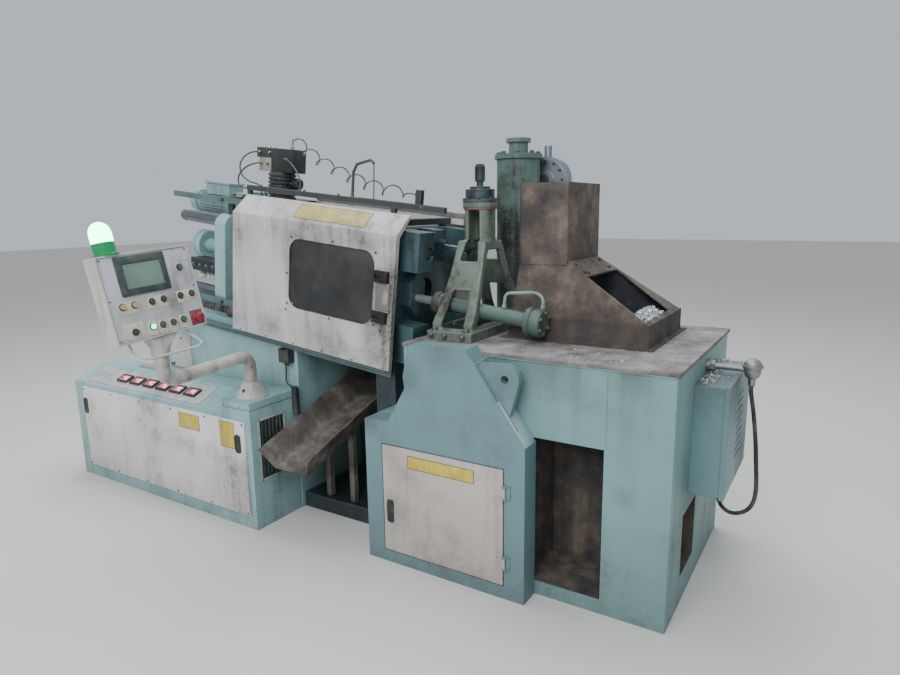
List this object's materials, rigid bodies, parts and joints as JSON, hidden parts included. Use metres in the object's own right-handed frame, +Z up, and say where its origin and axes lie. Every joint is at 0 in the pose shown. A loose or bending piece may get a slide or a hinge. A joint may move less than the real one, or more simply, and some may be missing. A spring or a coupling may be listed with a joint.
{
  "type": "hot chamber die casting machine",
  "caption": "Hot chamber die casting machine: tilted clamping unit with sliding guard door, furnace with hood and shot yoke, control cabinet with swinging pendant, casting chute.",
  "frame": {"origin": "on the floor under the machine's long axis, below the die", "axes": "+X along the machine towards the furnace, +Y away from the operator's side, +Z up"},
  "size_m": [3.665, 1.8532, 1.9474],
  "materials": {
    "bed_paint": "glossy",
    "base_paint": "satin",
    "cabinet_paint": "glossy",
    "white_paint": "satin",
    "furnace_paint": "worn",
    "platen_paint": "glossy",
    "dark_platen_paint": "oily",
    "rust": "rusty",
    "top_steel": "scorched",
    "pot_iron": "rough",
    "bar_steel": "oiled",
    "chrome": "polished",
    "die_steel": "ground",
    "dark_steel": "satin",
    "yoke_paint": "worn",
    "black_plastic": "moulded",
    "smoked_window": "smoked",
    "label": "printed",
    "screen": "display",
    "green_lens": "lit",
    "cast_silver": "cast",
    "pipe_steel": "plated",
    "black_rubber": "ribbed",
    "blue_hose": "coiled"
  },
  "bodies": {
    "machine": {"machine_bed": "bed_paint", "bed_cover": "white_paint", "base_frame": "base_paint", "chute": "rust", "control_cabinet": "cabinet_paint", "cabinet_panel": "white_paint", "meter_desk": "label", "pendant_base": "white_paint", "rear_platen": "platen_paint", "moving_platen": "dark_platen_paint", "fixed_platen": "dark_platen_paint", "tie_bars": "bar_steel", "clamp_cylinder": "platen_paint", "fixed_die": "die_steel", "moving_die": "die_steel", "oil_manifold": "dark_steel", "gear_motor": "furnace_paint", "door_rails": "bar_steel", "cable_chain": "black_plastic", "guard_frame": "dark_steel", "rear_guard": "white_paint", "valve_block": "dark_steel", "air_hose": "blue_hose", "furnace_body": "furnace_paint", "furnace_top": "top_steel", "crucible": "pot_iron", "hood": "rust", "pedestal": "furnace_paint", "yoke": "yoke_paint", "shot_cylinder": "furnace_paint", "carriage_cylinder": "furnace_paint", "hydraulic_pipes": "pipe_steel", "accumulator": "furnace_paint", "blower": "cast_silver", "electrical_box": "furnace_paint", "box_cover": "furnace_paint", "thermocouple": "cast_silver", "thermocouple_conduit": "black_rubber", "limit_switch": "black_plastic"},
    "safety_door": {"safety_door": "white_paint", "door_window": "smoked_window", "door_latches": "black_plastic"},
    "tool_door": {"tool_door": "white_paint"},
    "pendant_arm": {"pendant_arm": "white_paint"},
    "pendant_box": {"pendant_box": "white_paint", "pendant_screen": "screen", "pendant_controls": "black_plastic", "beacon": "green_lens"}
  },
  "joints": [
    {"name": "guard_door_slide", "type": "slide", "parent": "machine", "child": "safety_door", "axis": [-0.9938, 0, 0.1115], "range_m": [0, 0.65]},
    {"name": "tool_door_hinge", "type": "hinge", "parent": "machine", "child": "tool_door", "pos_m": [0.99, -0.508, 0.3], "axis": [0, 0, 1], "range_deg": [0, 110]},
    {"name": "arm_swivel", "type": "hinge", "parent": "machine", "child": "pendant_arm", "pos_m": [-0.43, -0.485, 0.7], "axis": [0, 0, 1], "range_deg": [-75, 40]},
    {"name": "box_swivel", "type": "hinge", "parent": "pendant_arm", "child": "pendant_box", "pos_m": [-0.32999, -1.0299, 0.99], "axis": [0, 0, 1], "range_deg": [-60, 60]}
  ]
}
